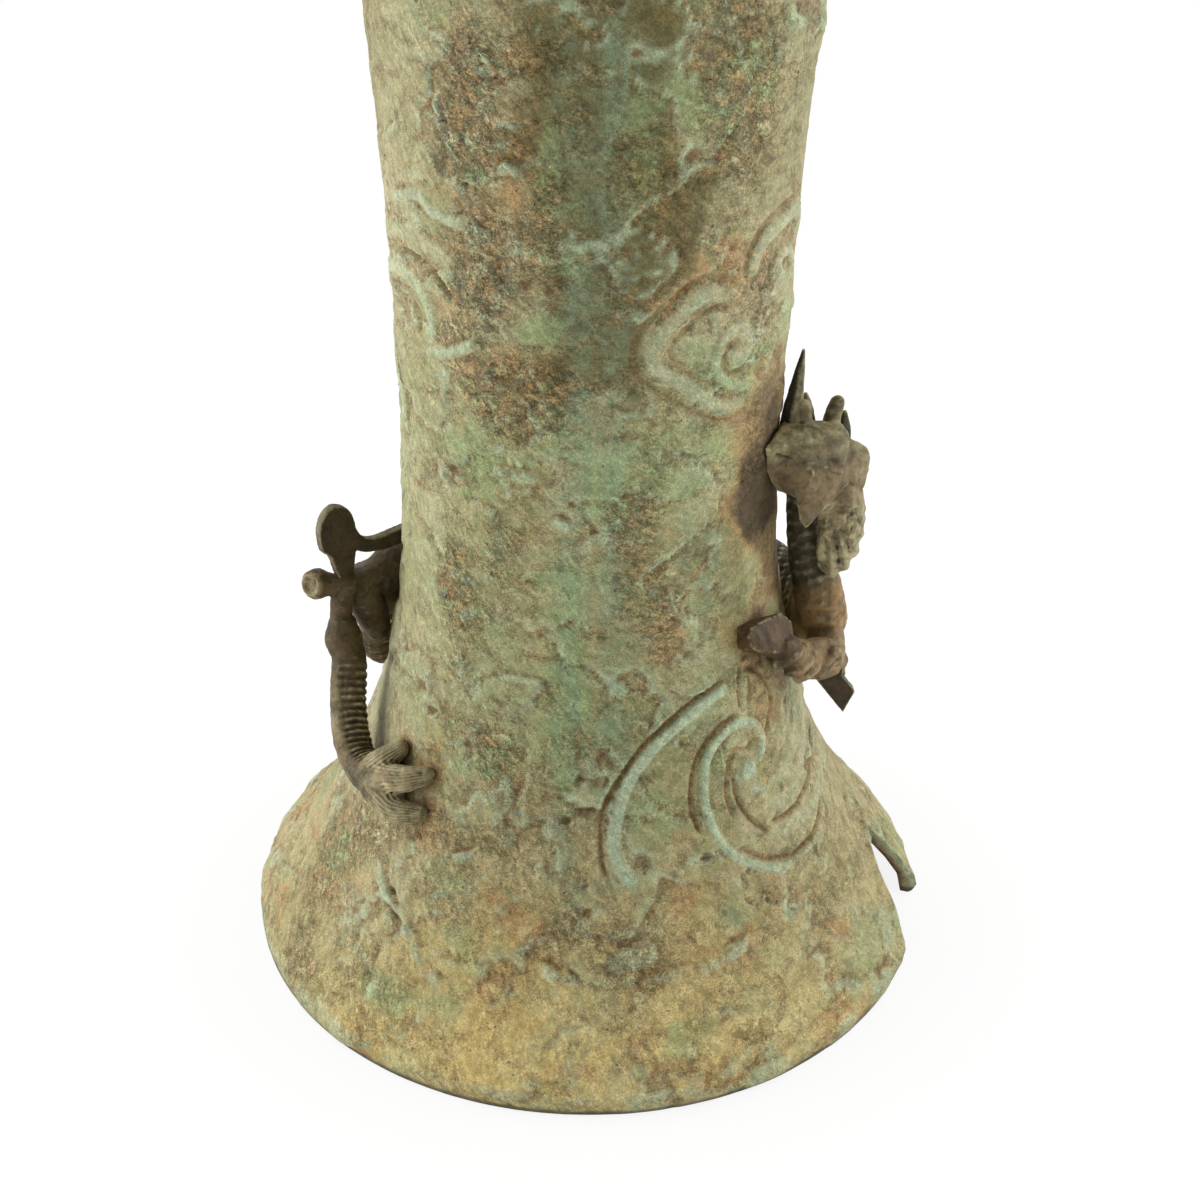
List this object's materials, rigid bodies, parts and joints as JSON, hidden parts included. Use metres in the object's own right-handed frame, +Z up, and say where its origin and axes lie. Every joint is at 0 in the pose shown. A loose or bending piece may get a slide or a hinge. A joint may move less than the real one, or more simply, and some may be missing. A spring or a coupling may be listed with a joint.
{
  "type": "usubata vase",
  "caption": "Cast bronze flower vase on a flaring foot with arches, a dragon climbing its trunk, a wide lift-off dish and a lift-out water liner.",
  "frame": {"origin": "centre of the foot's rim on the surface that the vase stands on", "axes": "+Z up along the trunk's axis, -Y toward the pictured front, +X to the right"},
  "size_m": [0.3, 0.3, 0.335],
  "materials": {
    "trunk_bronze": "rough cast with an olive and verdigris patina",
    "dragon_bronze": "dark brown patina, rubbed paler on its edges",
    "liner_copper": "dull tarnished sheet"
  },
  "bodies": {
    "vase": {"trunk": "trunk_bronze", "trunk_floor": "trunk_bronze", "dragon_body": "dragon_bronze", "dragon_tail": "dragon_bronze", "dragon_head": "dragon_bronze", "horn_long": "dragon_bronze", "horn_short": "dragon_bronze", "foreleg_right": "dragon_bronze", "foreleg_left": "dragon_bronze", "hindleg_left": "dragon_bronze", "hindleg_right": "dragon_bronze", "flame_hind_left": "dragon_bronze", "flame_fore_right": "dragon_bronze", "rivet_head": "dragon_bronze", "rivet_body": "dragon_bronze", "rivet_tail": "dragon_bronze", "rivet_foreleg_right": "dragon_bronze", "rivet_foreleg_left": "dragon_bronze", "rivet_hindleg_left": "dragon_bronze", "rivet_hindleg_right": "dragon_bronze"},
    "dish": {"dish": "trunk_bronze"},
    "liner": {"liner_cup": "liner_copper", "liner_floor": "liner_copper"}
  },
  "joints": [
    {"name": "dish_lift", "type": "slide", "parent": "vase", "child": "dish", "axis": [0, 0, 1], "range_m": [0, 0.2]},
    {"name": "liner_lift", "type": "slide", "parent": "dish", "child": "liner", "axis": [0, 0, 1], "range_m": [0, 0.245]}
  ]
}
